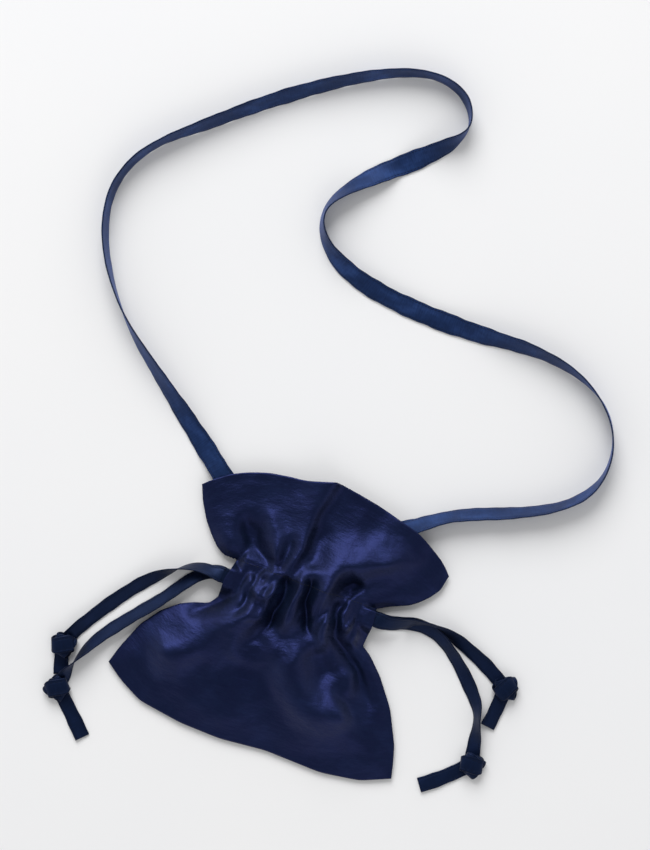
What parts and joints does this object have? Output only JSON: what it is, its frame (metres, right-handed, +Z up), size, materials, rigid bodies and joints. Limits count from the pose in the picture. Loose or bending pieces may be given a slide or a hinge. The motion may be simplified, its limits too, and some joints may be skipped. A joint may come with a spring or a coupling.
{
  "type": "drawstring pouch",
  "caption": "Fabric pouch lying flat, its neck gathered in a casing by two knotted tape drawstrings, with a flared mouth frill and a long flat carrying strap",
  "frame": {"origin": "on the surface it lies on, under the middle of the pouch cloth's box", "axes": "+X across the pouch, +Y from its foot to its mouth, +Z up"},
  "size_m": [0.4299, 0.5616, 0.025],
  "materials": {
    "pouch_cloth": "dark navy satin-faced cloth, softly mottled",
    "lining_cloth": "plain dark navy lining",
    "drawstring_tape": "dark navy woven tape with a slight sheen",
    "strap_webbing": "dark blue woven strap with a satin face",
    "thread": "dark navy sewing thread"
  },
  "bodies": {
    "root": {"front_panel": "pouch_cloth", "back_panel": "pouch_cloth", "front_lining": "lining_cloth", "back_lining": "lining_cloth", "upper_casing_stitches": "thread", "lower_casing_stitches": "thread", "left_strap_end": "strap_webbing", "right_strap_end": "strap_webbing", "left_strap_tack": "thread", "right_strap_tack": "thread"},
    "left_drawstring": {"left_drawstring_loop": "drawstring_tape", "left_upper_end": "drawstring_tape", "left_upper_knot": "drawstring_tape", "left_upper_tail": "drawstring_tape", "left_lower_end": "drawstring_tape", "left_lower_knot": "drawstring_tape", "left_lower_tail": "drawstring_tape"},
    "right_drawstring": {"right_drawstring_loop": "drawstring_tape", "right_upper_end": "drawstring_tape", "right_upper_knot": "drawstring_tape", "right_upper_tail": "drawstring_tape", "right_lower_end": "drawstring_tape", "right_lower_knot": "drawstring_tape", "right_lower_tail": "drawstring_tape"},
    "strap": {"strap": "strap_webbing"}
  },
  "joints": [
    {"name": "left_drawstring_pull", "type": "slide", "parent": "root", "child": "left_drawstring", "axis": [-1, 0, 0], "range_m": [0, 0.02]},
    {"name": "right_drawstring_pull", "type": "slide", "parent": "root", "child": "right_drawstring", "axis": [1, 0, 0], "range_m": [0, 0.02]},
    {"name": "strap_lift", "type": "hinge", "parent": "root", "child": "strap", "pos_m": [-0.091, 0.0805, 0.00475], "axis": [0.9936, 0.1133, 0], "range_deg": [0, 90]}
  ]
}
